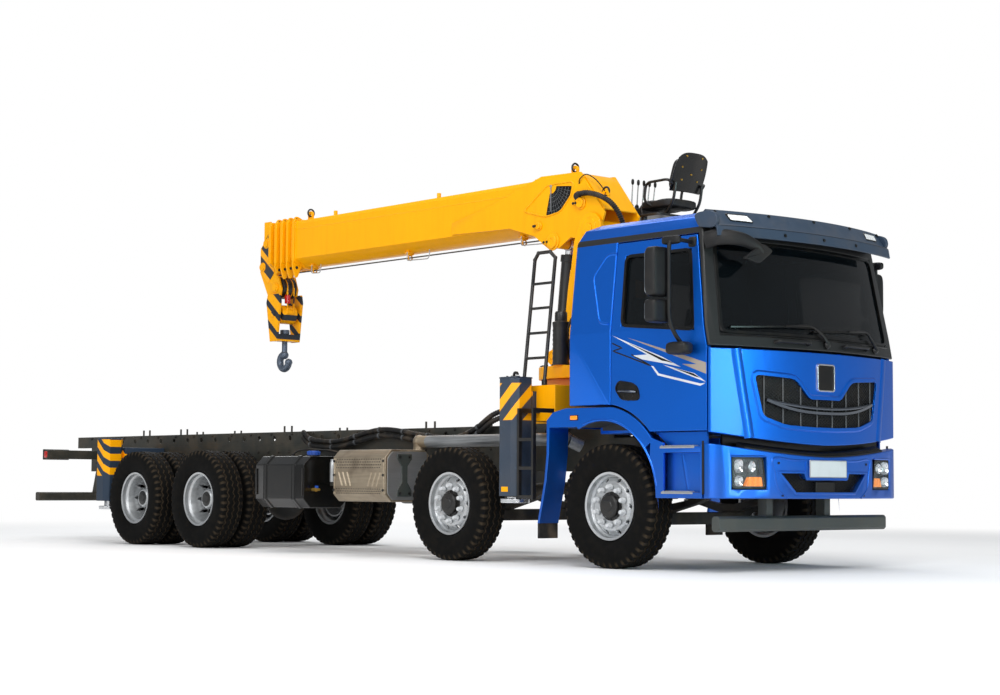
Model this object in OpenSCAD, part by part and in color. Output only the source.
// Eight-wheel truck with a straight telescopic boom crane behind its cab.
// X points to the front, Y to the left, Z up; all sizes in millimetres.

/* [Overall] */
// Length from the bumper to the tail of the subframe
overall_length = 11950; // [11700:10:12000]
// Bumper front to the first axle
front_overhang = 1500; // [1440:10:1560]
// First to second axle
axle_gap_front = 2150; // [2000:10:2300]
// Second to third axle
axle_gap_mid = 4250; // [4000:10:4500]
// Third to fourth axle
axle_gap_rear = 1350; // [1300:10:1400]
// Ground to the seat back of the crane operator
seat_back_top = 3980; // [3900:10:4000]

/* [Wheels] */
// Tyre outside diameter
tyre_d = 1085; // [1050:5:1120]
// Tyre section width
tyre_w = 300; // [280:5:310]
// Rim flange diameter
rim_d = 597; // [570:1:610]
// Middle to middle of the two front tyres of an axle
track_front = 2050; // [2000:10:2080]
// Middle to middle of the two rear pairs of an axle
track_rear = 1830; // [1800:10:1860]
// Middle to middle of the tyres of one rear pair
dual_pitch = 340; // [330:2:350]
// Wheel nuts on a circle of this diameter
nut_circle = 335; // [320:5:340]
// Number of wheel nuts and of hand holes
nut_count = 10; // [8:1:10]
// Distance of the kingpins inside the middle of the tyre
kingpin_in = 145; // [125:5:165]
// Kingpin radius
kingpin_r = 24; // [20:1:28]
// Front stub axle radius
stub_r = 45; // [40:1:50]
// Rear axle tube end radius
tube_end_r = 60; // [55:1:65]

/* [Frame] */
// Outside width over the two rails
rail_w = 860; // [820:10:880]
// Rail height
rail_h = 300; // [280:5:320]
// Rail flange width
rail_flange = 80; // [70:5:90]
// Rail plate thickness
rail_t = 10; // [8:1:12]
// Ground to the top of the rails
rail_top = 1160; // [1140:5:1180]
// Height of the subframe on the rails
subframe_h = 140; // [120:5:160]
// Spacing of the holes along the subframe
hole_pitch = 300; // [250:10:400]
// Diameter of those holes
hole_d = 56; // [40:2:70]
// Tow pin diameter at the tail
tow_pin_d = 50; // [40:1:60]

/* [Cab] */
// Cab width at the doors
cab_w = 2480; // [2400:10:2500]
// Ground to the roof
cab_top = 3035; // [2980:5:3060]
// Ground to the underside of the cab floor
cab_floor = 1180; // [1160:5:1200]
// Top edge of the front lid
belt_z = 1875; // [1850:5:1900]
// Radius of the bowed front, seen from above
front_r = 3870; // [3500:10:4500]
// Rake of the windscreen
rake = 11; // [8:0.5:14]
// Thickness of the walls and doors
wall = 55; // [45:5:70]
// Shut gap round doors and lid
shut_gap = 8; // [6:1:12]
// Thickness of the panes
pane_t = 6; // [4:1:8]

/* [Crane] */
// Slew axis behind the first axle
slew_back = 1300; // [1280:5:1320]
// Radius of the turntable
turntable_r = 560; // [520:5:580]
// Boom pivot behind the first axle
pivot_back = 1120; // [1100:5:1150]
// Ground to the boom pivot
pivot_z = 3170; // [3150:5:3200]
// Radius of the boom pivot pin
pivot_r = 45; // [40:1:55]
// Width of the boom base section
boom_w = 440; // [420:5:460]
// Height of the boom base section
boom_h = 518; // [500:2:540]
// Ground to the boom top
boom_top = 3725; // [3700:5:3750]
// Wall of the boom sections
boom_t = 12; // [8:1:14]
// Running gap between boom sections
boom_gap = 8; // [7:1:10]
// Boom base tip behind the first axle
boom_tip_back = 6020; // [5900:10:6100]
// Step from one boom tip to the next
tip_step = 115; // [110:1:130]
// Radius of the lift cylinder barrel
lift_r = 85; // [75:1:95]
// Radius of the lift cylinder rod
lift_rod_r = 55; // [45:1:58]

/* [Outriggers] */
// Width of the sliding beams
beam_w = 210; // [190:5:215]
// Height of the sliding beams
beam_h = 230; // [210:5:240]
// Slide gap round the beams
beam_gap = 6; // [5:1:10]
// Across flats of the leg tubes
leg_w = 265; // [250:5:280]
// Radius of the leg pistons
leg_r = 80; // [70:1:90]
// Slide gap round the pistons
leg_gap = 6; // [5:1:10]

/* [Hidden] */
$fn = 64;
run = 0.5;
x1 = overall_length / 2 - front_overhang;
x_axle = [x1, x1 - axle_gap_front, x1 - axle_gap_front - axle_gap_mid,
          x1 - axle_gap_front - axle_gap_mid - axle_gap_rear];
tail_x = -overall_length / 2;
axle_z = tyre_d / 2;
rail_y = rail_w / 2;
rail_bot = rail_top - rail_h;
sub_top = rail_top + subframe_h;
rail_front = x1 + 1180;
rail_rear = tail_x + 350;
sub_front = x1 - 640;
slew_x = x1 - slew_back;
pivot_x = x1 - pivot_back;
kingpin_y = track_front / 2 - kingpin_in;
// where the front beams start and end their drop
bend_y = [kingpin_y - 320, kingpin_y - 160];

// profile in X and Z, drawn out from y0 to y1
module slab_y(y0, y1) {
    translate([0, y1, 0]) rotate([90, 0, 0]) linear_extrude(y1 - y0) children();
}
// profile in Y and Z, drawn out from xa to xb
module slab_x(xa, xb) {
    translate([xa, 0, 0]) rotate([90, 0, 90]) linear_extrude(xb - xa) children();
}
// box between two corners
module box(a, b) {
    translate(a) cube(b - a);
}
// round bar along Y at a point in X and Z
module bar_y(x, z, r, y0, y1) {
    translate([x, y0, z]) rotate([-90, 0, 0]) cylinder(r = r, h = y1 - y0);
}
// round bar along X at a point in Y and Z
module bar_x(y, z, r, xa, xb) {
    translate([xa, y, z]) rotate([0, 90, 0]) cylinder(r = r, h = xb - xa);
}
// round bar between two points
module bar(p, q, r, n = 20, roll = 0) {
    v = q - p;
    l = norm(v);
    translate(p) rotate([0, acos(v[2] / l), atan2(v[1], v[0])]) rotate([0, 0, roll])
        cylinder(r = r, h = l, $fn = n);
}
// round bar through a list of points, with ball corners
module bent(pts, r, roll = 0) {
    for (i = [0 : len(pts) - 2]) bar(pts[i], pts[i + 1], r, 20, roll);
    for (i = [1 : 1 : len(pts) - 2]) translate(pts[i]) sphere(r = r * 1.15, $fn = 24);
}
module both_sides() {
    children();
    mirror([0, 1, 0]) children();
}
function arc(cx, cz, r, a0, a1, n) = [for (i = [0 : n]) let (a = a0 + (a1 - a0) * i / n)
    [cx + r * cos(a), cz + r * sin(a)]];

// rails, crossmembers and cab mounts
cross_at = [x1 + 1100, x_axle[1] + 390, x_axle[1] - 750, (x_axle[1] + x_axle[2]) / 2 - 25, x_axle[2] + 900,
    (x_axle[2] + x_axle[3]) / 2, rail_rear + 1400, rail_rear + 200];
cross_half = 50;
cross_z = [1020, 1140];
mount_at = [900, -330];
module chassis_frame() {
    color("dimgray") {
        both_sides() slab_x(rail_rear, rail_front) polygon([
            [-rail_y, rail_bot], [-rail_y + rail_flange, rail_bot],
            [-rail_y + rail_flange, rail_bot + rail_t], [-rail_y + rail_t, rail_bot + rail_t],
            [-rail_y + rail_t, rail_top - rail_t], [-rail_y + rail_flange, rail_top - rail_t],
            [-rail_y + rail_flange, rail_top], [-rail_y, rail_top]]);
        for (c = cross_at) box([c - cross_half, -rail_y + rail_t, cross_z[0]],
            [c + cross_half, rail_y - rail_t, cross_z[1]]);
        for (m = mount_at) both_sides() box([x1 + m - cross_half, -rail_y, rail_top],
            [x1 + m + cross_half, -rail_y + rail_flange, cab_floor]);
    }
}

// subframe channels with a row of holes, ties and holding studs
stud_pair = [tail_x + 1620, tail_x + 2470, x_axle[2] + 570, x_axle[1] - 1180];
stud_gap = 70;
stud_r = 11;
tie_front = sub_front - 1660;
tie_pitch = 1800;
tie_count = floor((tie_front - tail_x - 300) / tie_pitch);
tie_half = 40;
seat_t = 10;
hole_count = floor((sub_front - tail_x - 800) / hole_pitch);
tow_x = tail_x + 120;
module subframe() {
    color("dimgray") difference() {
        union() {
            both_sides() slab_x(tail_x, sub_front) polygon([
                [-rail_y, rail_top], [-rail_y + rail_flange, rail_top],
                [-rail_y + rail_flange, rail_top + rail_t], [-rail_y + rail_t, rail_top + rail_t],
                [-rail_y + rail_t, sub_top - rail_t], [-rail_y + rail_flange, sub_top - rail_t],
                [-rail_y + rail_flange, sub_top], [-rail_y, sub_top]]);
            for (i = [0 : tie_count]) box(
                [tie_front - i * tie_pitch - tie_half, -rail_y + rail_t, rail_top + 40],
                [tie_front - i * tie_pitch + tie_half, rail_y - rail_t, sub_top - 20]);
            box([tail_x, -rail_y + rail_t, rail_top + rail_t],
                [tow_x + 120, rail_y - rail_t, sub_top - rail_t]);
            for (s = stud_pair) for (d = [-stud_gap, stud_gap]) both_sides()
                translate([s + d, -rail_y + rail_flange / 2, sub_top - 2])
                cylinder(r = stud_r, h = 70, $fn = 24);
            both_sides() box([x1 + base_x[0] - 10, -rail_y, sub_top - 1],
                [x1 + base_x[1] + 10, -rail_y + rail_flange, sub_top + seat_t]);
        }
        for (i = [1 : hole_count]) bar_y(sub_front - 300 - i * hole_pitch, rail_top + subframe_h / 2,
            hole_d / 2, -rail_y - 5, -rail_y + 15);
        for (i = [1 : hole_count]) bar_y(sub_front - 300 - i * hole_pitch, rail_top + subframe_h / 2,
            hole_d / 2, rail_y - 15, rail_y + 5);
        translate([tow_x, 0, rail_top]) cylinder(r = tow_pin_d / 2, h = subframe_h);
    }
}

// dropped front beams and driven rear housings
beam_low = 375;
beam_th = 110;
boss_r = 55;
boss_half = 65;
tube_r = 85;
tube_end = 620;
module front_beam(x) {
    difference() {
        union() {
            slab_x(x - 60, x + 60) polygon([
                [-kingpin_y, axle_z - boss_half + 5], [-bend_y[1], axle_z - boss_half + 5],
                [-bend_y[0], beam_low],
                [bend_y[0], beam_low], [bend_y[1], axle_z - boss_half + 5],
                [kingpin_y, axle_z - boss_half + 5],
                [kingpin_y, axle_z + boss_half - 5], [bend_y[1], axle_z + boss_half - 5],
                [bend_y[0], beam_low + beam_th], [-bend_y[0], beam_low + beam_th],
                [-bend_y[1], axle_z + boss_half - 5], [-kingpin_y, axle_z + boss_half - 5]]);
            both_sides() translate([x, -kingpin_y, axle_z - boss_half])
                cylinder(r = boss_r, h = 2 * boss_half);
        }
        both_sides() translate([x, -kingpin_y, axle_z - 100]) cylinder(r = kingpin_r + run, h = 200);
        both_sides() difference() {
            translate([x, -kingpin_y - 200, axle_z - 100]) translate([-100, 0, 0]) cube([200, 200, 200]);
            translate([x, -kingpin_y, axle_z - 101]) cylinder(r = boss_r, h = 202);
        }
    }
}
module rear_housing(x, through) {
    bar_y(x, axle_z, tube_r, -tube_end, tube_end);
    bar_y(x, axle_z, tube_end_r, -track_rear / 2 - 90, track_rear / 2 + 90);
    translate([x, 0, axle_z]) sphere(r = 240);
    bar_x(0, axle_z + 50, 95, x, x + 420);
    if (through) bar_x(0, axle_z + 50, 95, x - 420, x);
}
module axle_beams() {
    color("dimgray") {
        front_beam(x_axle[0]);
        front_beam(x_axle[1]);
        rear_housing(x_axle[2], true);
        rear_housing(x_axle[3], false);
    }
}

// leaf packs with their hangers
leaf_w = 90;
leaf_half = 750;
rear_leaf_y = 455;
module front_leaf(x) {
    both_sides() slab_y(-rail_y - leaf_w / 2, -rail_y + leaf_w / 2) polygon([
        [x - 90, beam_low + beam_th], [x + 90, beam_low + beam_th], [x + 420, 570], [x + leaf_half - 40, 690],
        [x + leaf_half + 40, 690], [x + leaf_half + 40, rail_bot], [x + leaf_half - 40, rail_bot],
        [x + leaf_half - 45, 715], [x + 420, 615], [x + 90, 560], [x - 90, 560], [x - 420, 615],
        [x - leaf_half + 45, 715], [x - leaf_half + 40, rail_bot], [x - leaf_half - 40, rail_bot],
        [x - leaf_half - 40, 690], [x - leaf_half + 40, 690], [x - 420, 570]]);
}
module rear_leaf() {
    xm = (x_axle[2] + x_axle[3]) / 2;
    seat = axle_z + tube_r;
    both_sides() {
        slab_y(-rear_leaf_y - leaf_w, -rear_leaf_y) polygon([
            [x_axle[3] - 90, seat], [x_axle[3] + 90, seat], [xm - 200, seat + 80], [xm + 200, seat + 80],
            [x_axle[2] - 90, seat], [x_axle[2] + 90, seat], [x_axle[2] + 90, seat + 40],
            [xm + 220, seat + 190], [xm - 220, seat + 190], [x_axle[3] - 90, seat + 40]]);
        box([xm - 160, -rear_leaf_y - leaf_w, seat + 180], [xm + 160, -rail_y, rail_top - 120]);
    }
}
module leaf_springs() {
    color("dimgray") {
        front_leaf(x_axle[0]);
        front_leaf(x_axle[1]);
        rear_leaf();
    }
}

// engine with gearbox on its mounts, one plain block
engine_x = [-420, 940];
engine_z = [640, 1140];
gearbox_back = -1400;
gearbox_z = [600, 1000];
module engine() {
    color("gray") {
        box([x1 + engine_x[0], -320, engine_z[0]], [x1 + engine_x[1], 320, engine_z[1]]);
        box([x1 + gearbox_back, -220, gearbox_z[0]], [x1 + engine_x[0], 220, gearbox_z[1]]);
        both_sides() box([x1 + 200, -rail_y + rail_t, 900], [x1 + 320, -310, 1000]);
    }
}

// shafts from gearbox to the rear axles
shaft_r = 60;
module propshafts() {
    color("dimgray") {
        za = 700;
        zb = axle_z + 50;
        xa = x1 + gearbox_back;
        xb = x_axle[2] + 420;
        bar_x(0, za, 85, xa - 40, xa);
        bar([xa - 30, 0, za], [xb + 30, 0, zb], shaft_r, 32);
        bar_x(0, zb, 85, xb, xb + 40);
        bar_x(0, zb, 85, x_axle[2] - 460, x_axle[2] - 420);
        bar_x(0, zb, shaft_r, x_axle[3] + 440, x_axle[2] - 440);
        bar_x(0, zb, 85, x_axle[3] + 420, x_axle[3] + 460);
    }
}

// chamfered fuel tank with straps, filler and brackets
tank_x = [-5260, -4390];
tank_y = [-1215, -640];
tank_z = [470, 1010];
function chamfered(a, b, c) = [[a[0] + c, a[1]], [b[0] - c, a[1]], [b[0], a[1] + c], [b[0], b[1] - c],
    [b[0] - c, b[1]], [a[0] + c, b[1]], [a[0], b[1] - c], [a[0], a[1] + c]];
module fuel_tank() {
    color("darkslategray") {
        slab_x(x1 + tank_x[0], x1 + tank_x[1])
            polygon(chamfered([tank_y[0], tank_z[0]], [tank_y[1], tank_z[1]], 90));
        for (s = [180, 690]) {
            slab_x(x1 + tank_x[0] + s - 25, x1 + tank_x[0] + s + 25)
                polygon(chamfered([tank_y[0] - 8, tank_z[0] - 8], [tank_y[1] + 8, tank_z[1] + 8], 92));
            box([x1 + tank_x[0] + s - 40, tank_y[1] - 5, rail_bot + 20],
                [x1 + tank_x[0] + s + 40, -rail_y, rail_bot + 130]);
        }
        translate([x1 + tank_x[1] - 110, -1010, tank_z[1] - 5]) cylinder(r = 55, h = 60);
    }
}

// exhaust cleaning box with ribs, brackets and pipe
muff_x = [-3870, -3020];
muff_y = [-1225, -640];
muff_z = [545, 1065];
pipe_r = 60;
module exhaust_box() {
    color("silver") {
        slab_x(x1 + muff_x[0], x1 + muff_x[1])
            polygon(chamfered([muff_y[0], muff_z[0]], [muff_y[1], muff_z[1]], 75));
        for (s = [150, 700]) box([x1 + muff_x[0] + s - 40, muff_y[1] - 5, rail_bot + 20],
            [x1 + muff_x[0] + s + 40, -rail_y, rail_bot + 130]);
        bent([[x1 + muff_x[1] - 120, -700, muff_z[1] - 20], [x1 + muff_x[1] - 120, -690, 1150],
            [x1 - 1010, -690, 1150], [x1 - 930, -560, 1080]], pipe_r);
    }
}

// battery box, tool box and air reservoirs on the far side
battery_x = [-3870, -3100];
battery_y = [640, 1215];
battery_z = [560, 1030];
air_x = [-5300, -4300];
air_y = 880;
air_z = [620, 880];
air_r = 120;
module side_tanks() {
    color("darkslategray") {
        slab_x(x1 + battery_x[0], x1 + battery_x[1])
            polygon(chamfered([battery_y[0], battery_z[0]], [battery_y[1], battery_z[1]], 40));
        for (s = [170, 600]) box([x1 + battery_x[0] + s - 40, rail_y, rail_bot + 40],
            [x1 + battery_x[0] + s + 40, battery_y[0] + 5, rail_bot + 140]);
        for (z = air_z) bar_x(air_y, z, air_r, x1 + air_x[0], x1 + air_x[1]);
        for (s = [air_x[0] + 150, air_x[1] - 150]) {
            for (z = air_z) box([x1 + s - 30, rail_y, z - 30], [x1 + s + 30, air_y - air_r + 10, z + 30]);
            box([x1 + s - 30, rail_y, air_z[0] - 30], [x1 + s + 30, rail_y + 70, rail_bot + 120]);
        }
    }
}

// bowed outline of bumper and lid from above, pulled in by an inset
module bow_plan(front, back, inset) {
    intersection() {
        translate([x1 + front - front_r, 0]) circle(r = front_r - inset, $fn = 256);
        polygon([[x1 + back, -cab_w / 2 + inset], [x1 + front - 245, -cab_w / 2 + inset],
            [x1 + front - 165 - inset / 2, -cab_w / 2 + 80 + inset / 2], [x1 + front + 100, -cab_w / 2 + 345],
            [x1 + front + 100, cab_w / 2 - 345], [x1 + front - 165 - inset / 2, cab_w / 2 - 80 - inset / 2],
            [x1 + front - 245, cab_w / 2 - inset], [x1 + back, cab_w / 2 - inset]]);
    }
}

// hollow bumper with lamp pockets, mesh recess and a blank plate
bump_front = front_overhang - 8;
bump_z = [620, 1075];
bump_dip = 103;
bump_n = 8;
bump_t = 110;
lamp_y = [715, 1060];
lamp_z = [700, 965];
plate_w = 500;
plate_z = [798, 948];
mesh_y = [575, 400];
mesh_z = [672, 836];
// edge in Y and Z that dips towards the middle
function dipped(half, top, dip, n) = [for (k = [-n : n]) let (f = abs(k / n))
    [half * k / n, top - dip * (1 - pow(f, 1.6))]];
module bumper_body(inset) {
    intersection() {
        translate([0, 0, bump_z[0]]) linear_extrude(bump_z[1] - bump_z[0]) bow_plan(bump_front, 1190, inset);
        slab_x(x1 + 1100, x1 + 2000) polygon(concat(dipped(cab_w / 2 + 10, bump_z[1], bump_dip, bump_n),
            [[cab_w / 2 + 10, 0], [-cab_w / 2 - 10, 0]]));
    }
}
module lamp_cut(gap) {
    both_sides() box([x1 + 1290 + gap, -lamp_y[1] + gap, lamp_z[0] + gap],
        [x1 + 1600, -lamp_y[0] - gap, lamp_z[1] - gap]);
}
module front_bumper() {
    color("steelblue") {
        difference() {
            bumper_body(0);
            translate([0, 0, bump_z[0] - 5]) linear_extrude(bump_z[1] - bump_z[0] + 10)
                bow_plan(bump_front - bump_t, 1100, 60);
            lamp_cut(0);
            slab_x(x1 + 1380, x1 + 1600) polygon([[-mesh_y[0], mesh_z[1]], [-mesh_y[1], mesh_z[0]],
                [mesh_y[1], mesh_z[0]], [mesh_y[0], mesh_z[1]], [300, mesh_z[1]], [280, mesh_z[1] - 50],
                [-280, mesh_z[1] - 50], [-300, mesh_z[1]]]);
        }
        box([x1 + bump_front - 20, -plate_w / 2, plate_z[0]], [x1 + front_overhang, plate_w / 2, plate_z[1]]);
        both_sides() box([rail_front, -rail_y, 880], [x1 + 1372, -rail_y + rail_flange, 970]);
    }
}

// tail lamps, side markers and headlamps
tail_lamp_x = rail_rear + 300;
tail_half = 1245;
lamp_bar_z = [1010, 1120];
marker_z = [1296, 1336];
marker_at = [-335];
module lamps() {
    color("white") {
        intersection() {
            bumper_body(6);
            lamp_cut(run);
        }
        both_sides() box([tail_lamp_x - 100, -tail_half, lamp_bar_z[0] - 10],
            [tail_lamp_x - 40, -900, lamp_bar_z[1] + 10]);
        for (m = marker_at) both_sides() box([x1 + m - 45, -cab_w / 2 - 12, marker_z[0]],
            [x1 + m + 45, -cab_w / 2, marker_z[1]]);
    }
}

// front underrun bar on two hangers
module front_guard() {
    color("gray") {
        slab_y(-1125, 1125) polygon(chamfered([x1 + 1175, 345], [x1 + 1260, 475], 20));
        both_sides() box([x1 + 1080, -rail_y, 345], [x1 + 1180, -rail_y + rail_flange, rail_bot]);
    }
}

// wheel arches with skirt, steps and rear mudguard
arch_r = 650;
skirt_r = 780;
arch_z = 630;
arch_y = [-cab_w / 2, -960];
skirt_t = 25;
step_z = [620, 1000];
step_x = [700, 1172];
module arch_face() {
    difference() {
        union() {
            polygon(concat([[x1, arch_z]], arc(x1, arch_z, skirt_r, 38, 80, 10),
                [[x1 - 440, 1404], [x1 - 610, 1370], [x1 - 690, 1300], [x1 - 690, 1235]],
                [[x1 - 300, 1235]]));
            polygon([[x1 + 560, step_z[0]], [x1 + 740, step_z[0]], [x1 + 740, 1080], [x1 + 590, 1130]]);
        }
        translate([x1, arch_z]) circle(r = arch_r, $fn = 96);
        polygon([[x1 - 700, 0], [x1 + arch_r, 0], [x1 + arch_r, arch_z], [x1 - 700, arch_z]]);
    }
}
module fender_half() {
    slab_y(arch_y[0], arch_y[0] + skirt_t) arch_face();
    slab_y(arch_y[0], arch_y[1]) difference() {
        polygon(concat(arc(x1, arch_z, arch_r + 18, 0, 112, 24), [[x1 - 690, 1253], [x1 - 690, 1235],
            [x1 - 250, 1235]], arc(x1, arch_z, arch_r, 112, 0, 24)));
        polygon([[x1 - 700, 0], [x1 - 700, 1000], [x1, 1000], [x1, 0]]);
    }
    for (z = step_z) box([x1 + step_x[0], arch_y[0], z], [x1 + step_x[1], -1000, z + 50]);
    box([x1 + step_x[0], -1020, step_z[0]], [x1 + step_x[1], -1000, 1120]);
    box([x1 + step_x[1] - 20, arch_y[0], step_z[0]], [x1 + step_x[1], -1000, 1060]);
    box([x1 + step_x[0], -1010, 900], [x1 + step_x[0] + 60, -rail_y, 960]);
    box([x1 - 690, -1100, 1235], [x1 - 648, -rail_y, 1253]);
    slab_y(arch_y[0], -1000) polygon([[x1 - 690, 1240], [x1 - 655, 1240], [x1 - 660, 1000], [x1 - 690, 760],
        [x1 - 780, 380], [x1 - 805, 380], [x1 - 718, 760], [x1 - 690, 1000]]);
}
module fenders() {
    color("steelblue") both_sides() fender_half();
}

// lamp bar and hanging underrun bar at the tail
guard_x = rail_rear + 20;
guard_z = [487, 594];
module tail_bars() {
    color("dimgray") {
        both_sides() box([tail_lamp_x - 40, -tail_half, lamp_bar_z[0]],
            [tail_lamp_x + 40, -rail_y, lamp_bar_z[1]]);
        slab_y(-1200, 1200) polygon(chamfered([guard_x - 50, guard_z[0]], [guard_x + 50, guard_z[1]], 15));
        both_sides() slab_y(-rail_y + 20, -rail_y + 60) polygon([[guard_x - 40, guard_z[0] + 53],
            [guard_x + 40, guard_z[0] + 53], [guard_x + 260, rail_bot], [guard_x + 60, rail_bot]]);
    }
}

// crane base: seat on the subframe, front beam housing, rear leg housing
house_x = [-1365, -875];
house_y = 960;
house_top = 1640;
beam_x_right = -1235;
beam_x_left = -1005;
beam_z = 1470;
base_x = [-1900, -875];
bearing_top = 1730;
rear_leg_x = x_axle[3] - 730;
rear_leg_half = 130;
rear_leg_z = [500, 1250];
leg_arm_y = 980;
rear_leg_y = 1110;
rear_leg_rod_r = 55;
pad_len = 60;
module beam_tunnel(xc, y0, y1) {
    w = beam_w / 2 + beam_gap;
    h = beam_h / 2 + beam_gap;
    box([x1 + xc - w, y0 + pad_len, beam_z - h], [x1 + xc + w, y1 - pad_len, beam_z + h]);
    box([x1 + xc - beam_w / 2 - run, y0, beam_z - beam_h / 2 - run],
        [x1 + xc + beam_w / 2 + run, y1, beam_z + beam_h / 2 + run]);
}
module crane_base() {
    color("gold") difference() {
        union() {
            box([x1 + base_x[0], -rail_y, sub_top + seat_t], [x1 + base_x[1], rail_y, house_top]);
            box([x1 + house_x[0], -house_y, sub_top + seat_t], [x1 + house_x[1], house_y, house_top]);
            translate([slew_x, 0, house_top - 1])
                cylinder(r = turntable_r - 60, h = bearing_top - house_top + 1);
            both_sides() box([rear_leg_x - rear_leg_half, -leg_arm_y, rail_bot + 60],
                [rear_leg_x + rear_leg_half, -rail_y, rail_top - 20]);
            both_sides() rear_tube();
        }
        beam_tunnel(beam_x_right, -house_y, house_y - 40);
        beam_tunnel(beam_x_left, -house_y + 40, house_y);
        both_sides() translate([rear_leg_x, -rear_leg_y, rear_leg_z[0] + pad_len])
            cylinder(r = rear_leg_rod_r + leg_gap, h = rear_leg_z[1] - rear_leg_z[0] - pad_len - 50);
        both_sides() translate([rear_leg_x, -rear_leg_y, rear_leg_z[0] - 10])
            cylinder(r = rear_leg_rod_r + run, h = 100);
    }
}
module rear_tube() {
    h = rear_leg_half;
    translate([rear_leg_x, -rear_leg_y, rear_leg_z[0]]) linear_extrude(rear_leg_z[1] - rear_leg_z[0])
        polygon(chamfered([-h, -h], [h, h], 55));
}

// fixed upper ladder and low access ladder
lad_r = 17;
lad_foot = 55;
lad_roll = 130;
lad_low = [[-1330, -930, house_top + 25], [-1050, -930, house_top + 25]];
lad_top = [[-1410, -720, 2850], [-1130, -720, 2850]];
rung_count = 4;
foot_x = [-1085, -895];
module ladders() {
    color("black") {
        a = [for (p = lad_low) p + [x1, 0, 0]];
        b = [for (p = lad_top) p + [x1, 0, 0]];
        bent([a[0], b[0], b[0] + [60, -10, 60], b[1] + [-60, -10, 60], b[1], a[1]], lad_r, lad_roll);
        for (p = a) translate([p[0], p[1], house_top]) cylinder(r = lad_r + 9, h = lad_foot);
        for (i = [1 : rung_count]) bar(a[0] + (b[0] - a[0]) * i / (rung_count + 1),
            a[1] + (b[1] - a[1]) * i / (rung_count + 1), 13);
        for (s = foot_x) {
            box([x1 + s - 12, -1225, 590], [x1 + s + 12, -1185, 1420]);
            box([x1 + s - 12, -1225, 1380], [x1 + s + 12, -house_y, 1420]);
        }
        for (z = [600, 860, 1120]) box([x1 + foot_x[0], -1225, z], [x1 + foot_x[1], -1185, z + 30]);
    }
}

// hoses clipped along the frame to the crane base
hose_r = 28;
hose_n = 10;
hose_row = [[-1905, -330, 1430], [-2060, -360, 1420], [-2230, -500, 1350], [-2460, -540, 1210],
    [-2800, -520, 1130], [-3300, -520, 1160], [-4000, -500, 1230], [-4700, -520, 1120], [-5200, -510, 1140],
    [-5450, -rail_y - hose_r, 1230]];
function along(pts, t) = let (i = min(floor(t), len(pts) - 2), f = t - i,
    a = pts[max(i - 1, 0)], b = pts[i], c = pts[i + 1], d = pts[min(i + 2, len(pts) - 1)])
    0.5 * ((2 * b) + (c - a) * f + (2 * a - 5 * b + 4 * c - d) * f * f + (3 * b - a - 3 * c + d) * f * f * f);
module hose(pts, r) {
    n = (len(pts) - 1) * 4;
    c = [for (k = [0 : n]) along(pts, k / 4)];
    rings = [for (k = [0 : n]) let (d = c[min(k + 1, n)] - c[max(k - 1, 0)], t = d / norm(d),
        u0 = cross(t, [0, 0, 1]), u = u0 / norm(u0), v = cross(u, t))
        for (j = [0 : hose_n - 1]) c[k] + r * (u * cos(360 * j / hose_n) + v * sin(360 * j / hose_n))];
    sides = [for (k = [0 : n - 1]) for (j = [0 : hose_n - 1]) let (m = (j + 1) % hose_n)
        [k * hose_n + j, (k + 1) * hose_n + j, (k + 1) * hose_n + m, k * hose_n + m]];
    ends = [[for (j = [0 : hose_n - 1]) j], [for (j = [hose_n - 1 : -1 : 0]) n * hose_n + j]];
    polyhedron(rings, concat(sides, ends), convexity = 10);
}
module hydraulic_hoses() {
    color("black") for (k = [0 : 1])
        hose([for (p = hose_row) [x1 + p[0], p[1], p[2] + 62 * k]], hose_r);
}

// outer form of the cab, pulled in by an inset
cab_front = 1470;
cab_rear = -400;
side_foot = 1420;
arch_in = 850;
side_belt = 2050;
gutter_z = cab_top - 175;
roof_edge = [155, 45, 50];
gutter_in = 92;
module cab_form(i) {
    intersection() {
        slab_y(-2000, 2000) polygon([[x1 + cab_rear + i, cab_floor + i],
            [x1 + cab_rear + i, cab_top - roof_edge[0]],
            [x1 + cab_rear + 50 + i / 2, cab_top - roof_edge[1] - i / 2], [x1 + cab_rear + 150, cab_top - i],
            [x1 + 2000, cab_top - i], [x1 + 2000, cab_floor + i]]);
        slab_x(x1 - 1000, x1 + 2000) polygon([[-cab_w / 2 + i, 1000], [-cab_w / 2 + i, side_belt],
            [-cab_w / 2 + gutter_in + i, gutter_z], [-cab_w / 2 + 150 + i, cab_top - roof_edge[2] - i / 2],
            [-cab_w / 2 + 250, cab_top - i], [cab_w / 2 - 250, cab_top - i],
            [cab_w / 2 - 150 - i, cab_top - roof_edge[2] - i / 2], [cab_w / 2 - gutter_in - i, gutter_z],
            [cab_w / 2 - i, side_belt], [cab_w / 2 - i, 1000]]);
        union() {
            translate([x1 + cab_front - front_r, 0, 900])
                cylinder(r = front_r - i, h = belt_z - 900, $fn = 256);
            intersection() {
                translate([x1 + cab_front - front_r / cos(rake), 0, belt_z]) rotate([0, -rake, 0])
                    translate([0, 0, -1500]) cylinder(r = front_r - i, h = 4000, $fn = 256);
                box([x1 - 1000, -2000, belt_z], [x1 + 2000, 2000, 4000]);
            }
        }
    }
}
// front face of the raked screen at a width and height
function face_x(y, z) = x1 + cab_front - (z - belt_z) * tan(rake)
    - (front_r - sqrt(front_r * front_r - y * y)) / cos(rake);
// space kept for the front wheels under the cab
module arch_space(g) {
    both_sides() {
        bar_y(x1, arch_z, skirt_r + 12 + g, -2000, -arch_in + g);
        box([x1 - 1000, -2000, 500], [x1 + 60, -arch_in + g, side_foot + g]);
    }
}
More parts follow.
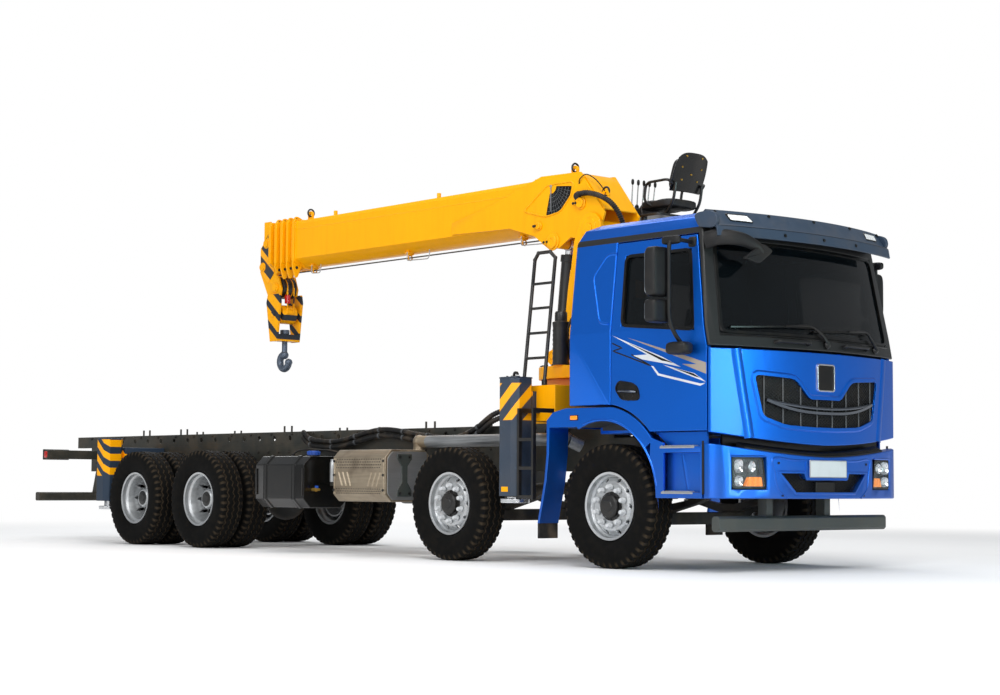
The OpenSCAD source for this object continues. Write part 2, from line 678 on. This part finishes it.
// door outline in X and Z, grown by g
door_x = [120, 1225];
door_top = cab_top - 207;
window_top = cab_top - 323;
window_low = [2095, 2015];
door_in = cab_w / 2 - gutter_in - wall - 5;
hinge_at = [1150, cab_w / 2 - 18];
hinge_z = [1330, 1700];
hinge_pin_r = 6;
hinge_boss_r = 11;
hinge_half = 24;
module door_outline(g) {
    difference() {
        polygon([[x1 + door_x[0] - g, cab_floor - g], [x1 + door_x[1] + g, cab_floor - g],
            [x1 + door_x[1] + g, belt_z], [x1 + 1048 + g, door_top + g], [x1 + door_x[0] - g, door_top + g]]);
        translate([x1, arch_z]) circle(r = skirt_r + 20 - g, $fn = 128);
    }
}
// window outline in X and Z, grown by g
module window_outline(g) {
    polygon([[x1 + 235 - g, window_low[0] - g], [x1 + 1090 + g, window_low[1] - g],
        [x1 + 992 + g, window_top + g], [x1 + 225 - g, window_top + g]]);
}
// windscreen outline in Y and Z
screen_z = [1990, cab_top - 250];
module screen_outline(g) {
    polygon([[-1125 - g, screen_z[0] - g], [1125 + g, screen_z[0] - g],
        [1062 + g, screen_z[1] + g], [-1062 - g, screen_z[1] + g]]);
}
rear_pane_y = 450;
rear_pane_z = [2150, cab_top - 435];
fire_x = [1085, 1115];
fire_y = 1165;
// half width of the shelf under the screen, inside the opened doors' front edges, and room over the lid
shelf_y = 1115;
lid_room = 5;
// arm from the front wall to a door hinge pin
module hinge_arm(z) {
    translate([x1, 0, z - hinge_half]) linear_extrude(2 * hinge_half) difference() {
        union() {
            polygon([[fire_x[0] + 2, -fire_y + 8], [fire_x[1], -fire_y + 8],
                [hinge_at[0] + 9, -hinge_at[1] + 4],
                [hinge_at[0] - 9, -hinge_at[1] - 4]]);
            translate([hinge_at[0], -hinge_at[1]]) circle(r = hinge_boss_r);
        }
        translate([hinge_at[0], -hinge_at[1]]) circle(r = hinge_pin_r + run);
    }
}
module cab_shell() {
    color("steelblue") {
        difference() {
            cab_form(0);
            difference() {
                cab_form(wall);
                arch_space(wall);
            }
            arch_space(0);
            slab_y(-2000, -door_in) door_outline(shut_gap);
            slab_y(door_in, 2000) door_outline(shut_gap);
            box([x1 + 1180, -2000, 900], [x1 + 2000, 2000, belt_z + lid_room]);
            slab_x(x1 + 950, x1 + 2000) screen_outline(0);
            box([x1 + cab_rear - 5, -rear_pane_y, rear_pane_z[0]],
                [x1 + cab_rear + wall + 5, rear_pane_y, rear_pane_z[1]]);
        }
        box([x1 + fire_x[0], -fire_y, cab_floor + wall - 1], [x1 + fire_x[1], fire_y, belt_z + 20]);
        both_sides() difference() {
            box([x1 + door_x[0] - shut_gap - 1, -cab_w / 2 + wall + shut_gap, cab_floor],
                [x1 + fire_x[1], -door_in + 1, cab_floor + wall]);
            arch_space(0);
        }
        both_sides() for (z = hinge_z) hinge_arm(z);
        both_sides() difference() {
            union() {
                box([x1 + 1110, -lid_hinge_y - 10, lid_hinge[1] - 7],
                    [x1 + lid_hinge[0], -lid_hinge_y + 10, lid_hinge[1] + 7]);
                bar_y(x1 + lid_hinge[0], lid_hinge[1], 11, -lid_hinge_y - 10, -lid_hinge_y + 10);
            }
            bar_y(x1 + lid_hinge[0], lid_hinge[1], lid_pin_r + run, -lid_hinge_y - 20, -lid_hinge_y + 20);
        }
        intersection() {
            cab_form(wall / 2);
            box([x1 + fire_x[0], -shelf_y, belt_z + lid_room],
                [x1 + 2000, shelf_y, belt_z + lid_room + 25]);
        }
    }
}
module cab_glass() {
    color("lightblue") {
        intersection() {
            difference() {
                cab_form(12);
                cab_form(12 + pane_t);
            }
            slab_x(x1 + 950, x1 + 2000) screen_outline(-0.2);
        }
        box([x1 + cab_rear + 20, -rear_pane_y, rear_pane_z[0]],
            [x1 + cab_rear + 20 + pane_t, rear_pane_y, rear_pane_z[1]]);
    }
}

// two-step visor above the windscreen
// section of the visor: from the first axle, from the roof
visor_row = [[1190, -30], [1262, 5], [1340, -9], [1430, -135], [1462, -155], [1476, -239], [1460, -243],
    [1444, -173], [1416, -155], [1326, -45], [1250, -35]];
visor_turn = 35.2;
module sun_visor() {
    color("slategray") difference() {
        translate([x1 + cab_front - front_r, 0, 0]) rotate([0, 0, -visor_turn / 2])
            rotate_extrude(angle = visor_turn, $fn = 256)
            polygon([for (p = visor_row) [p[0] - cab_front + front_r, cab_top + p[1]]]);
        cab_form(0);
    }
}

// dash with instrument hood, steering column and wheel
wheel_tilt = 62;
module dashboard() {
    color("dimgray") {
        slab_y(-1110, 1110) polygon([[x1 + 1085, 1560], [x1 + 1085, 1895], [x1 + 960, 1990], [x1 + 840, 1960],
            [x1 + 800, 1820], [x1 + 860, 1560]]);
        bar([x1 + 880, 550, 1800], [x1 + 700, 550, 1990], 32);
        translate([x1 + 690, 550, 2000]) rotate([0, wheel_tilt - 90 - 15, 0]) {
            rotate_extrude() translate([225, 0]) circle(r = 17, $fn = 20);
            cylinder(r = 60, h = 30, center = true);
            for (a = [30, 150, 270]) rotate([0, 90, a]) cylinder(r = 13, h = 222, $fn = 16);
        }
    }
}

// two cab seats
seat_y = 550;
module seats() {
    color("dimgray") both_sides() {
        slab_y(-seat_y - 190, -seat_y + 190) polygon([[x1 - 60, cab_floor + wall],
            [x1 + 330, cab_floor + wall],
            [x1 + 330, 1520], [x1 - 60, 1520]]);
        slab_y(-seat_y - 240, -seat_y + 240) polygon([[x1 - 120, 1500], [x1 + 400, 1530], [x1 + 430, 1600],
            [x1 + 400, 1650], [x1 + 20, 1620], [x1 - 110, 2230], [x1 - 220, 2210], [x1 - 150, 1560]]);
        slab_y(-seat_y - 130, -seat_y + 130) polygon([[x1 - 215, 2200], [x1 - 120, 2220], [x1 - 145, 2420],
            [x1 - 235, 2400]]);
    }
}

// wipers and grab handles under the windscreen
wiper_y = [-640, 240];
handle_y = 740;
function off_face(y, z, d) = [face_x(y, z) + d, y, z];
module wiper_cowl() {
    color("black") difference() {
        wiper_set();
        cab_form(-run);
    }
}
module wiper_set() {
    union() {
        for (y = wiper_y) {
            translate(off_face(y, 1935, 0)) rotate([0, 90, 0]) cylinder(r = 24, h = 34);
            bar(off_face(y, 1935, 24), off_face(y + 330, 2070, 24), 11);
            bar(off_face(y + 40, 2015, 20), off_face(y + 600, 2120, 20), 9);
        }
        for (s = [-1, 1]) bent([off_face(s * handle_y - 150, 1925, -2), off_face(s * handle_y - 150,
            1925, 48),
            off_face(s * handle_y + 150, 1925, 48), off_face(s * handle_y + 150, 1925, -2)], 13);
    }
}

// front lid with its grille opening
lid_z = [1072, belt_z - shut_gap - 4];
lid_rise = 94;
lid_hinge = [1446, 1846];
lid_hinge_y = 200;
lid_pin_r = 6;
lid_t = 45;
lid_side = 1238;
// half of the grille outline, from the dip under the emblem to the bottom
grille_half = [[185, 1465], [225, 1482], [345, 1598], [395, 1626], [440, 1634], [785, 1652], [815, 1640],
    [820, 1612], [752, 1345], [735, 1315], [705, 1296], [520, 1244], [440, 1234], [150, 1223]];
module lid_body(i) {
    intersection() {
        translate([x1 + cab_front - front_r, 0, lid_z[0]])
            cylinder(r = front_r - i, h = lid_z[1] - lid_z[0], $fn = 256);
        box([x1 + lid_side, -cab_w / 2 + i, lid_z[0]], [x1 + 2000, cab_w / 2 - i, lid_z[1]]);
        slab_x(x1 + 1100, x1 + 2000) polygon(concat(
            dipped(cab_w / 2 + 10, lid_z[0] + lid_rise, lid_rise, bump_n),
            [[cab_w / 2 + 10, 2000], [-cab_w / 2 - 10, 2000]]));
    }
}
module grille_outline() {
    polygon(concat(grille_half, [for (k = [len(grille_half) - 1 : -1 : 0])
        [-grille_half[k][0], grille_half[k][1]]]));
}
module front_panel() {
    color("steelblue") difference() {
        lid_body(0);
        lid_body(lid_t);
        slab_x(x1 + 1200, x1 + 2000) grille_outline();
        both_sides() box([x1 + lid_side - 5, -lid_hinge_y - 22, lid_hinge[1] - 20],
            [x1 + lid_hinge[0] + 13, -lid_hinge_y + 22, lid_z[1] + 5]);
    }
    color("steelblue") both_sides() bar_y(x1 + lid_hinge[0], lid_hinge[1], lid_pin_r,
        -lid_hinge_y - 30, -lid_hinge_y + 30);
}
module grille() {
    color("black") intersection() {
        difference() {
            lid_body(12);
            lid_body(30);
        }
        slab_x(x1 + 1200, x1 + 2000) grille_outline();
    }
}

// doors, panes and mirrors, drawn for the right side
module door_body() {
    intersection() {
        difference() {
            cab_form(0);
            cab_form(wall);
            box([x1 - 2000, -cab_w / 2 + wall, 0], [x1 + 2000, 0, cab_floor + wall + shut_gap]);
            for (z = hinge_z)
                box([x1 + hinge_at[0] - 50, -hinge_at[1] - hinge_boss_r - 2, z - hinge_half - 6],
                [x1 + hinge_at[0] + 50, -door_in, z + hinge_half + 6]);
        }
        slab_y(-2000, -door_in) difference() {
            door_outline(0);
            window_outline(0);
        }
    }
    for (z = hinge_z) translate([x1 + hinge_at[0], -hinge_at[1], z - hinge_half - 20])
        cylinder(r = hinge_pin_r, h = 2 * hinge_half + 40);
}
module door_pane() {
    intersection() {
        difference() {
            cab_form(24);
            cab_form(24 + pane_t);
        }
        slab_y(-2000, -door_in) window_outline(0);
    }
}
mirror_y = -1450;
mirror_x = 866;
// lower and upper edge under the roof, of the main and the wide glass
mirror_z = [[-745, -325], [-963, -765]];
module mirror_set() {
    top = cab_top - 270;
    difference() {
        union() {
            for (m = mirror_z) slab_x(x1 + mirror_x - 45, x1 + mirror_x + 45) polygon(chamfered(
                [mirror_y - 110, cab_top + m[0]], [mirror_y + 100, cab_top + m[1]], 28));
            bent([[x1 + 1000, -cab_w / 2 + 100, top], [x1 + 960, mirror_y + 60, top - 5],
                [x1 + mirror_x + 30, mirror_y + 40, top - 75], [x1 + mirror_x + 30, mirror_y + 40, top - 675],
                [x1 + 1000, -cab_w / 2 - 60, top - 865], [x1 + 1000, -cab_w / 2 + 15, top - 900]], 18);
            translate([x1 + 940, -cab_w / 2 - 50, top + 35]) rotate([12, 0, 0]) cylinder(r = 110, h = 60);
        }
        cab_form(0);
    }
}
module door_right() {
    color("steelblue") door_body();
}
module door_left() {
    color("steelblue") mirror([0, 1, 0]) door_body();
}
module door_glass_right() {
    color("lightblue") door_pane();
}
module door_glass_left() {
    color("lightblue") mirror([0, 1, 0]) door_pane();
}
module mirrors_right() {
    color("black") mirror_set();
}
module mirrors_left() {
    color("black") mirror([0, 1, 0]) mirror_set();
}

// slewing column with two cheeks for the boom pin
column_bottom = bearing_top + run;
ring_top = 1850;
cheek_in = boom_w / 2 + 35;
cheek_t = 30;
lift_foot = [-1780, 1985];
lift_head = [-1660, 3090];
lift_pin_r = 36;
lift_fork = lift_r + 8;
lift_fork_t = 45;
// waist and shoulder heights of the column, and the seats of its cheeks
waist_z = 2600;
shoulder_z = 2790;
module column() {
    color("gold") difference() {
        union() {
            translate([slew_x, 0, column_bottom]) cylinder(r = turntable_r, h = ring_top - column_bottom);
            slab_y(-cheek_in - cheek_t, cheek_in + cheek_t) polygon([[x1 - 1510, ring_top - 1],
                [x1 - 1000, ring_top - 1], [x1 - 900, waist_z], [x1 - 920, shoulder_z],
                [x1 - 1380, shoulder_z],
                [x1 - 1415, waist_z]]);
            both_sides() slab_y(-cheek_in - cheek_t, -cheek_in) polygon(concat([[x1 - 1375, shoulder_z - 10],
                [x1 - 1330, pivot_z - 110]], arc(pivot_x, pivot_z, 150, 150, 0, 12),
                [[x1 - 915, shoulder_z - 10]]));
            both_sides() slab_y(-lift_fork - lift_fork_t, -lift_fork) polygon([
                [x1 - 1500, ring_top - 1], [x1 - 1505, 2130],
                [x1 + lift_foot[0] + 20, lift_foot[1] + 75], [x1 + lift_foot[0] - 65, lift_foot[1] + 40],
                [x1 + lift_foot[0] - 65, lift_foot[1] - 60], [x1 - 1740, ring_top - 1]]);
            bar_y(x1 + lift_foot[0], lift_foot[1], lift_pin_r,
                -lift_fork - lift_fork_t - 5, lift_fork + lift_fork_t + 5);
            both_sides() bar_y(pivot_x, pivot_z, 95, -cheek_in - cheek_t - 15, -cheek_in - 5);
            translate([x1 - 1260, -520, ring_top - 1]) cylinder(r = 75, h = 400);
        }
        bar_y(pivot_x, pivot_z, pivot_r + run, -600, 600);
    }
}

// operator seat with arm loops, levers and bracket on the column
opseat_y = 800;
opseat_pan = 3440;
module operator_seat() {
    color("black") {
        yb = cheek_in + cheek_t;
        box([x1 - 1500, yb, 2640], [x1 - 900, yb + 60, 2700]);
        bent([[x1 - 1300, yb + 30, 2680], [x1 - 1300, yb + 60, 3330]], 30);
        bent([[x1 - 1000, yb + 30, 2680], [x1 - 1000, yb + 60, 3330]], 30);
        box([x1 - 1560, yb + 10, 3320], [x1 - 760, opseat_y + 250, 3345]);
        box([x1 - 1220, opseat_y - 120, 3340], [x1 - 900, opseat_y + 120, opseat_pan]);
        slab_y(opseat_y - 230, opseat_y + 230) polygon([[x1 - 1340, opseat_pan - 10],
            [x1 - 860, opseat_pan - 10],
            [x1 - 740, seat_back_top - 60], [x1 - 760, seat_back_top], [x1 - 810, seat_back_top - 10],
            [x1 - 930, opseat_pan + 120], [x1 - 1330, opseat_pan + 110]]);
        for (s = [-1, 1]) bent([[x1 - 880, opseat_y + s * 225, 3700], [x1 - 880, opseat_y + s * 265, 3700],
            [x1 - 1180, opseat_y + s * 265, 3690], [x1 - 1190, opseat_y + s * 265, 3500],
            [x1 - 1190, opseat_y + s * 220, 3480]], 18);
        box([x1 - 1520, opseat_y - 200, 3340], [x1 - 1420, opseat_y + 200, 3500]);
        for (i = [-2 : 2]) bent([[x1 - 1470, opseat_y + i * 75, 3490],
            [x1 - 1440, opseat_y + i * 75, 3760]], 9);
        for (i = [-2 : 2]) translate([x1 - 1440, opseat_y + i * 75, 3760]) sphere(r = 22, $fn = 24);
    }
}

// lift cylinder between column foot and boom root
lift_run = lift_head - lift_foot;
lift_len = norm(lift_run);
lift_ang = atan2(lift_run[0], lift_run[1]);
barrel_len = 1000;
module lift_place() {
    translate([x1 + lift_foot[0], 0, lift_foot[1]]) rotate([0, lift_ang, 0]) children();
}
module lift_barrel() {
    color("dimgray") lift_place() difference() {
        union() {
            bar_y(0, 0, 68, -lift_fork + run, lift_fork - run);
            translate([0, 0, 40]) cylinder(r = lift_r, h = barrel_len - 40);
            translate([0, 0, barrel_len - 70]) cylinder(r = lift_r + 10, h = 70);
        }
        bar_y(0, 0, lift_pin_r + run, -100, 100);
        translate([0, 0, 180]) cylinder(r = lift_rod_r + 7, h = barrel_len - 240);
        translate([0, 0, 185]) cylinder(r = lift_rod_r + run, h = barrel_len);
    }
}
module lift_rod() {
    color("silver") lift_place() difference() {
        union() {
            translate([0, 0, 240]) cylinder(r = lift_rod_r, h = lift_len - 280);
            bar_y(0, lift_len, 72, -58, 58);
        }
        bar_y(0, lift_len, lift_pin_r + run, -100, 100);
    }
}

// boom sections, one inside the other
boom_step = boom_t + boom_gap;
collar = 25;
collar_t = 45;
root_x = -1430;
boom_low = boom_top - boom_h;
function boom_outline(i) = let (w = boom_w / 2 - i, t = boom_top - i, b = boom_low + i)
    [[-0.92 * w, t], [0.92 * w, t], [w, t - 40], [w, b + 83], [0.36 * w, b], [-0.36 * w, b], [-w, b + 83],
     [-w, t - 40]];
function tip_x(k) = x1 - boom_tip_back - k * tip_step;
module boom_tube(k, xb) {
    i = k * boom_step;
    slab_x(tip_x(k) + collar_t, xb) difference() {
        polygon(boom_outline(i));
        polygon(boom_outline(i + boom_t));
    }
    slab_x(tip_x(k), tip_x(k) + collar_t) difference() {
        polygon(boom_outline(-collar));
        polygon(boom_outline(i + boom_step - run));
    }
}
root_edge = [[-3190, 3300], [-2300, 3277], [-1940, 3170], [-1740, 3030], [-1580, 3020], [-1420, 3110],
    [-1210, 3065]];
root_back = [[-955, 3310], [-1290, 3738], [-1840, 3753], [-2550, 3550], [-3190, 3420]];
module boom_base() {
    color("gold") {
        boom_tube(0, x1 + root_x);
        difference() {
            union() {
                both_sides() slab_y(-boom_w / 2 - 25, -boom_w / 2) polygon(concat(
                    [for (p = root_edge) [x1 + p[0], p[1]]], arc(pivot_x, pivot_z, 135, -120, 20, 10),
                    [for (p = root_back) [x1 + p[0], p[1]]]));
                box([x1 + root_x - 30, -boom_w / 2, boom_low + 90], [x1 + root_x, boom_w / 2, boom_top - 45]);
                bar_y(pivot_x, pivot_z, 90, -boom_w / 2 - 10, boom_w / 2 + 10);
                bar_y(pivot_x, pivot_z, pivot_r, -cheek_in - cheek_t - 22, cheek_in + cheek_t + 22);
                both_sides() bar_y(x1 + lift_head[0], lift_head[1], 62, -boom_w / 2 - 20, -66);
            }
        }
        for (s = [-5300, -3500]) both_sides() translate([x1 + s, -boom_w / 2 + 60, boom_top - 5])
            cylinder(r = 22, h = 60);
    }
}
module boom_2() {
    color("gold") boom_tube(1, x1 - 1580);
}
module boom_3() {
    color("gold") boom_tube(2, x1 - 1600);
}
module boom_4() {
    color("gold") boom_tube(3, x1 - 1620);
}
sheave_x = tip_x(4) - 10;
sheave_z = 3000;
sheave_r = 120;
module boom_5() {
    color("gold") {
        boom_tube(4, x1 - 1640);
        both_sides() slab_y(-125, -100) polygon([for (p = [[-5, 3640], [-160, 3650], [-330, 3480],
            [-330, 3200],
            [-160, 2900], [80, 2900], [100, 2980], [40, 3130], [0, 3145]]) [tip_x(4) + p[0], p[1]]]);
        box([tip_x(4) - 30, -160, 3300], [tip_x(4) + 5, 160, 3660]);
        box([tip_x(4) - 320, -110, 3220], [tip_x(4) - 290, 110, 3460]);
        bar_y(sheave_x, sheave_z, 35, -140, 140);
        bar_y(sheave_x, sheave_z, sheave_r, -85, 85);
        for (y = [-112, 112]) box([tip_x(4) - 260, y - 12, 3560], [tip_x(4) - 140, y + 12, 3790]);
        bar_y(tip_x(4) - 200, 3745, 38, -105, 105);
    }
}

// hook block on its rope falls, and the swivelling hook
block_x = sheave_x + 20;
rope_r = 8;
shank_r = 32;
block_sheave_z = 2690;
fall_x = sheave_r + rope_r + run;
fall_y = [-45, 45];
block_edge = [[-125, 2920], [-150, 2830], [-70, 2370], [70, 2370], [130, 2830], [110, 2920]];
module hook_block() {
    color("gold") difference() {
        union() {
            both_sides() slab_y(-165, -140) polygon([for (p = block_edge) [block_x + p[0], p[1]]]);
            bar_y(block_x, block_sheave_z, 110, -100, 100);
            bar_y(block_x, block_sheave_z, 35, -178, 178);
            box([block_x - 75, -142, 2375], [block_x + 75, 142, 2455]);
            for (s = [-1, 1]) for (y = fall_y) translate([sheave_x + s * fall_x, y, block_sheave_z])
                cylinder(r = rope_r, h = sheave_z - block_sheave_z, $fn = 20);
            for (s = [-1, 1]) box([sheave_x + s * fall_x - 6, -50, block_sheave_z - 6],
                [sheave_x + s * fall_x + 6, 50, block_sheave_z + 6]);
            box([block_x - 155, -40, block_sheave_z - 5], [block_x + 118, 40, block_sheave_z + 5]);
        }
        translate([block_x, 0, 2300]) cylinder(r = shank_r + run, h = 200);
    }
}
hook_r = 85;
hook_th = 40;
hook_z = 2140;
module hook() {
    color("dimgray") {
        translate([block_x, 0, hook_z + 60]) cylinder(r = shank_r, h = 2475 - hook_z - 60);
        translate([block_x, 0, 2460]) cylinder(r = 55, h = 50, $fn = 48);
        translate([block_x, 0, hook_z]) rotate([90, 0, 0]) {
            rotate([0, 0, 100]) rotate_extrude(angle = 250) translate([hook_r, 0])
                circle(r = hook_th, $fn = 32);
            rotate([0, 0, -8]) translate([hook_r, 0, 0]) sphere(r = hook_th + 4, $fn = 32);
        }
        translate([block_x, 0, hook_z + hook_r - 10]) sphere(r = 48, $fn = 32);
    }
}

// sliding beams with leg tubes, and leg pistons
leg_y = house_y + 25 + leg_w / 2;
leg_top = 1700;
leg_bot = 620;
foot_z = 557;
module slide_beam(xc) {
    difference() {
        union() {
            box([x1 + xc - beam_w / 2, -leg_y, beam_z - beam_h / 2],
                [x1 + xc + beam_w / 2, house_y - 80, beam_z + beam_h / 2]);
            translate([x1 + xc, -leg_y, leg_bot]) linear_extrude(leg_top - leg_bot)
                polygon(chamfered([-leg_w / 2, -leg_w / 2], [leg_w / 2, leg_w / 2], leg_w * 0.22));
        }
        translate([x1 + xc, -leg_y, leg_bot + pad_len])
            cylinder(r = leg_r + leg_gap, h = leg_top - leg_bot - pad_len - 25);
        translate([x1 + xc, -leg_y, leg_bot - 5]) cylinder(r = leg_r + run, h = pad_len + 10);
    }
}
module slide_leg(xc) {
    translate([x1 + xc, -leg_y, foot_z]) cylinder(r = 140, h = 40);
    translate([x1 + xc, -leg_y, foot_z + 20]) cylinder(r = leg_r, h = leg_top - foot_z - 60);
}
module outrigger_beam_right() {
    color("dimgray") slide_beam(beam_x_right);
}
module outrigger_beam_left() {
    color("dimgray") mirror([0, 1, 0]) slide_beam(beam_x_left);
}
module outrigger_leg_right() {
    color("silver") slide_leg(beam_x_right);
}
module outrigger_leg_left() {
    color("silver") mirror([0, 1, 0]) slide_leg(beam_x_left);
}
rear_foot_z = 400;
module rear_leg() {
    translate([rear_leg_x, -rear_leg_y, rear_foot_z]) cylinder(r = 120, h = 40);
    translate([rear_leg_x, -rear_leg_y, rear_foot_z + 20]) cylinder(r = rear_leg_rod_r, h = 740);
}
module rear_leg_right() {
    color("silver") rear_leg();
}
module rear_leg_left() {
    color("silver") mirror([0, 1, 0]) rear_leg();
}

// steering knuckle of a right wheel
ear_h = 55;
ear_gap = 4;
knuckle_plate = [72, 100];
module knuckle(x) {
    for (s = [-1, 1]) {
        za = s > 0 ? axle_z + boss_half + ear_gap : axle_z - boss_half - ear_gap - ear_h;
        translate([x, -kingpin_y, za]) cylinder(r = boss_r, h = ear_h);
        box([x - boss_r, -kingpin_y - knuckle_plate[1], za], [x + boss_r, -kingpin_y, za + ear_h]);
    }
    translate([x, -kingpin_y, axle_z - boss_half - ear_gap - ear_h])
        cylinder(r = kingpin_r, h = 2 * (boss_half + ear_gap + ear_h));
    box([x - boss_r, -kingpin_y - knuckle_plate[1], axle_z - boss_half - ear_gap - ear_h],
        [x + boss_r, -kingpin_y - knuckle_plate[0], axle_z + boss_half + ear_gap + ear_h]);
    bar_y(x, axle_z, stub_r, -track_front / 2 - 55, -kingpin_y - knuckle_plate[0] - 5);
}
module knuckle_1_right() {
    color("dimgray") knuckle(x_axle[0]);
}
module knuckle_1_left() {
    color("dimgray") mirror([0, 1, 0]) knuckle(x_axle[0]);
}
module knuckle_2_right() {
    color("dimgray") knuckle(x_axle[1]);
}
module knuckle_2_left() {
    color("dimgray") mirror([0, 1, 0]) knuckle(x_axle[1]);
}

// tyre as a turned ring, its side walls a power curve
tread_half = tyre_w / 2 - 28;
seat_r = rim_d / 2 - 12;
groove = 14;
groove_at = [-72, 0, 72];
// side wall from bead to shoulder: radius beyond the flange, half width
wall_pts = [[seat_r + run, 97], [rim_d / 2 + 2, 99], [rim_d / 2 + 14, 116], [rim_d / 2 + 42, tyre_w / 2 - 14],
    [rim_d / 2 + 80, tyre_w / 2 - 3], [rim_d / 2 + 120, tyre_w / 2], [rim_d / 2 + 165, tyre_w / 2 - 2],
    [rim_d / 2 + 205, tyre_w / 2 - 9], [tyre_d / 2 - 14, tyre_w / 2 - 20], [tyre_d / 2, tread_half]];
module tyre() {
    rotate_extrude($fn = 96) difference() {
        polygon(concat(wall_pts, [for (k = [len(wall_pts) - 1 : -1 : 0]) [wall_pts[k][0], -wall_pts[k][1]]]));
        for (g = groove_at) translate([tyre_d / 2 - groove, g - 6]) square([groove + 5, 12]);
    }
}
// rim barrel across the tyre, open inside
module rim_barrel() {
    f = rim_d / 2;
    polygon([[f, 116], [f, 104], [seat_r, 100], [seat_r - 2, 60], [seat_r - 24, 40], [seat_r - 24, -40],
        [seat_r - 2, -60], [seat_r, -100], [f, -104], [f, -116], [seat_r - 10, -112], [seat_r - 12, -64],
        [seat_r - 34, -46], [seat_r - 34, 46], [seat_r - 12, 64], [seat_r - 10, 112]]);
}
hand_r = 18;
hand_at = seat_r - 54;
// front wheel turned about its axle, s outward
module front_wheel() {
    difference() {
        union() {
            rotate_extrude($fn = 96) union() {
                rim_barrel();
                polygon([[seat_r - 30, 6], [seat_r - 30, 40], [212, 84], [100, 84], [100, 66], [204, 66]]);
                polygon([[stub_r + run, -38], [stub_r + run, 58], [0, 58], [0, 112], [66, 112],
                    [80, 98], [80, 84],
                    [112, 84], [112, -38]]);
                polygon([[100, -36], [186, -36], [186, -52], [204, -52], [204, -20], [100, -20]]);
            }
            for (a = [0 : nut_count - 1]) rotate([0, 0, (a + 0.5) * 360 / nut_count])
                translate([nut_circle / 2, 0, 80]) cylinder(r = 17, h = 36, $fn = 24);
        }
        for (a = [0 : nut_count - 1]) rotate([0, 0, a * 360 / nut_count])
            translate([hand_at, 0, -10]) cylinder(r = hand_r, h = 130, $fn = 32);
    }
    tyre();
}
// rear pair turned about its axle, dished to the middle
module rear_wheel() {
    h = dual_pitch / 2;
    difference() {
        union() {
            rotate_extrude($fn = 96) union() {
                translate([0, h]) rim_barrel();
                translate([0, -h]) rim_barrel();
                polygon([[seat_r - 30, h - 20], [210, 14], [100, 14], [100, -14], [210, -14],
                    [seat_r - 30, 20 - h],
                    [seat_r - 30, 44 - h], [206, 0], [seat_r - 30, h - 44]]);
                polygon([[tube_end_r + run, -120], [tube_end_r + run, 100], [0, 100], [0, 178], [92, 178],
                    [108, 160], [118, 60], [144, 30], [144, -8], [112, -30], [112, -120]]);
                polygon([[110, -40], [190, -40], [190, -220], [208, -220], [208, -24], [110, -24]]);
            }
            for (a = [0 : nut_count - 1]) rotate([0, 0, (a + 0.5) * 360 / nut_count])
                translate([nut_circle / 2, 0, 5]) cylinder(r = 17, h = 51, $fn = 24);
        }
        for (a = [0 : nut_count - 1]) rotate([0, 0, a * 360 / nut_count])
            translate([hand_at, 0, -h]) cylinder(r = hand_r, h = 2 * h, $fn = 32);
    }
    translate([0, 0, h]) tyre();
    translate([0, 0, -h]) tyre();
}
module wheel_right(x, half_track) {
    translate([x, -half_track, axle_z]) rotate([90, 0, 0]) children();
}
module wheel_left(x, half_track) {
    translate([x, half_track, axle_z]) rotate([-90, 0, 0]) children();
}
module wheel_1_right() {
    color("silver") wheel_right(x_axle[0], track_front / 2) front_wheel();
}
module wheel_1_left() {
    color("silver") wheel_left(x_axle[0], track_front / 2) front_wheel();
}
module wheel_2_right() {
    color("silver") wheel_right(x_axle[1], track_front / 2) front_wheel();
}
module wheel_2_left() {
    color("silver") wheel_left(x_axle[1], track_front / 2) front_wheel();
}
module wheel_3_right() {
    color("silver") wheel_right(x_axle[2], track_rear / 2) rear_wheel();
}
module wheel_3_left() {
    color("silver") wheel_left(x_axle[2], track_rear / 2) rear_wheel();
}
module wheel_4_right() {
    color("silver") wheel_right(x_axle[3], track_rear / 2) rear_wheel();
}
module wheel_4_left() {
    color("silver") wheel_left(x_axle[3], track_rear / 2) rear_wheel();
}

chassis_frame();
subframe();
axle_beams();
leaf_springs();
engine();
propshafts();
fuel_tank();
exhaust_box();
side_tanks();
front_bumper();
lamps();
front_guard();
fenders();
tail_bars();
crane_base();
ladders();
hydraulic_hoses();
cab_shell();
cab_glass();
sun_visor();
dashboard();
seats();
wiper_cowl();
door_right();
door_left();
door_glass_right();
door_glass_left();
mirrors_right();
mirrors_left();
front_panel();
grille();
column();
operator_seat();
lift_barrel();
lift_rod();
boom_base();
boom_2();
boom_3();
boom_4();
boom_5();
hook_block();
hook();
outrigger_beam_right();
outrigger_beam_left();
outrigger_leg_right();
outrigger_leg_left();
rear_leg_right();
rear_leg_left();
knuckle_1_right();
knuckle_1_left();
knuckle_2_right();
knuckle_2_left();
wheel_1_right();
wheel_1_left();
wheel_2_right();
wheel_2_left();
wheel_3_right();
wheel_3_left();
wheel_4_right();
wheel_4_left();
